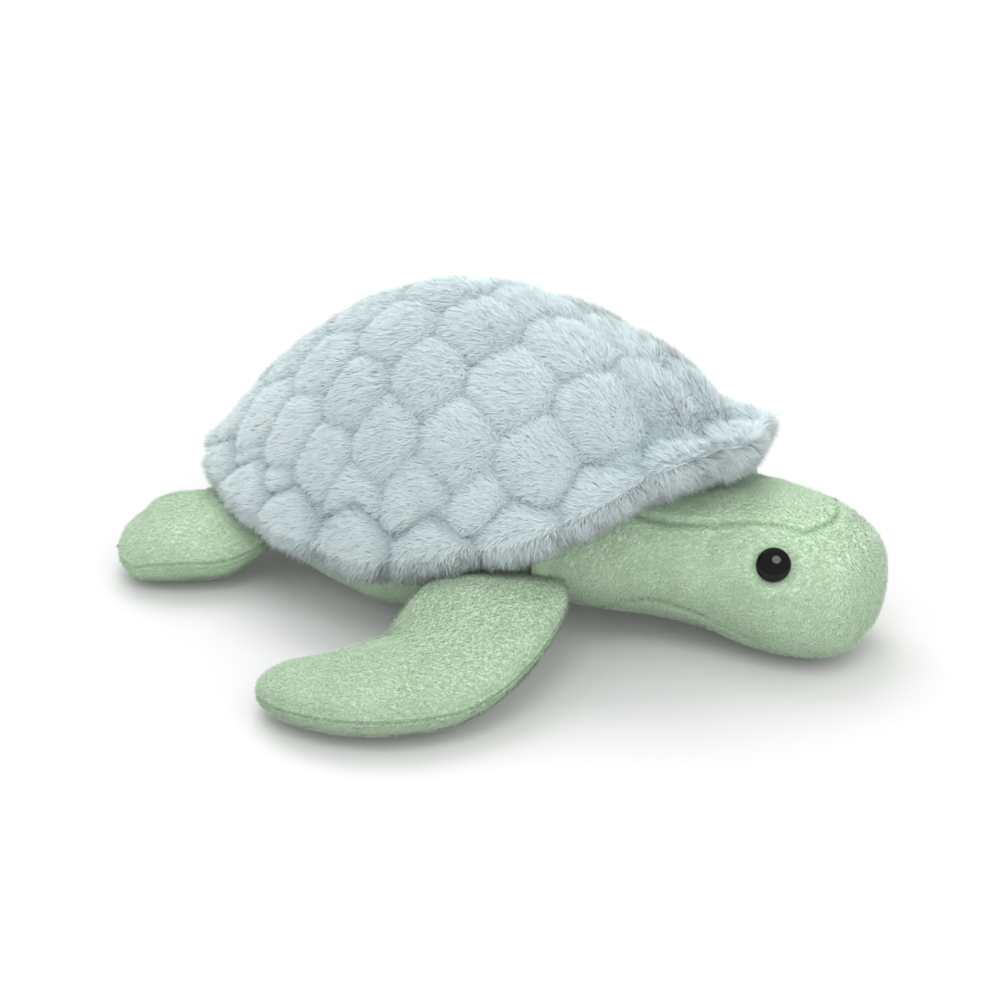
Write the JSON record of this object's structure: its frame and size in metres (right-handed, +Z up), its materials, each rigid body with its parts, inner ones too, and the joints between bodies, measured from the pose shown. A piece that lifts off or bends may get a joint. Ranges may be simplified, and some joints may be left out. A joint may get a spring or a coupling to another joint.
{
  "type": "plush turtle",
  "caption": "Stuffed sea turtle lying on its belly: quilted furry dome shell, soft green head with safety eyes and sewn flippers that flap at their seams.",
  "frame": {"origin": "on the floor under the middle of the belly, on the flat where the turtle lies", "axes": "+X towards the nose, +Y to the turtle's left, +Z up through the crown of the shell"},
  "size_m": [0.3146, 0.3302, 0.1243],
  "materials": {
    "shell_plush": "long pale blue-grey faux fur, quilted in hexagons",
    "green_plush": "short soft green pile",
    "belly_plush": "short soft green pile",
    "fibre_fill": "white polyester fibre",
    "eye_plastic": "polished black",
    "washer_plastic": "plain moulded white"
  },
  "bodies": {
    "body": {"shell_top": "shell_plush", "belly_panel": "belly_plush", "body_stuffing": "fibre_fill"},
    "neck": {"neck_wad": "fibre_fill"},
    "head": {"head_top_gusset": "green_plush", "chin_gusset": "green_plush", "head_side_left": "green_plush", "head_side_right": "green_plush", "head_stuffing": "fibre_fill", "throat_stuffing": "fibre_fill", "eye_left": "eye_plastic", "eye_right": "eye_plastic", "eye_washer_left": "washer_plastic", "eye_washer_right": "washer_plastic"},
    "front_left_flipper": {"front_left_flipper_top": "green_plush", "front_left_flipper_bottom": "green_plush", "front_left_flipper_stuffing": "fibre_fill"},
    "front_right_flipper": {"front_right_flipper_top": "green_plush", "front_right_flipper_bottom": "green_plush", "front_right_flipper_stuffing": "fibre_fill"},
    "rear_left_flipper": {"rear_left_flipper_top": "green_plush", "rear_left_flipper_bottom": "green_plush", "rear_left_flipper_stuffing": "fibre_fill"},
    "rear_right_flipper": {"rear_right_flipper_top": "green_plush", "rear_right_flipper_bottom": "green_plush", "rear_right_flipper_stuffing": "fibre_fill"}
  },
  "joints": [
    {"name": "neck_nod", "type": "hinge", "parent": "body", "child": "neck", "pos_m": [0.104, 0, 0.036], "axis": [0, -1, 0], "range_deg": [-15, 12], "stiffness_Nm_per_rad": 0.3},
    {"name": "head_turn", "type": "hinge", "parent": "neck", "child": "head", "pos_m": [0.104, 0, 0.036], "axis": [0, 0, 1], "range_deg": [-20, 20], "stiffness_Nm_per_rad": 0.3},
    {"name": "front_left_flap", "type": "hinge", "parent": "body", "child": "front_left_flipper", "pos_m": [0.05422, 0.06758, 0.033], "axis": [0.9396, -0.3423, 0], "range_deg": [-25, 20], "stiffness_Nm_per_rad": 0.1},
    {"name": "front_right_flap", "type": "hinge", "parent": "body", "child": "front_right_flipper", "pos_m": [0.05422, -0.06758, 0.033], "axis": [-0.9396, -0.3423, 0], "range_deg": [-25, 20], "stiffness_Nm_per_rad": 0.1},
    {"name": "rear_left_flap", "type": "hinge", "parent": "body", "child": "rear_left_flipper", "pos_m": [-0.08318, 0.03388, 0.02], "axis": [0.734, 0.6792, 0], "range_deg": [-20, 12], "stiffness_Nm_per_rad": 0.1},
    {"name": "rear_right_flap", "type": "hinge", "parent": "body", "child": "rear_right_flipper", "pos_m": [-0.08318, -0.03388, 0.02], "axis": [-0.734, 0.6792, 0], "range_deg": [-20, 12], "stiffness_Nm_per_rad": 0.1}
  ]
}
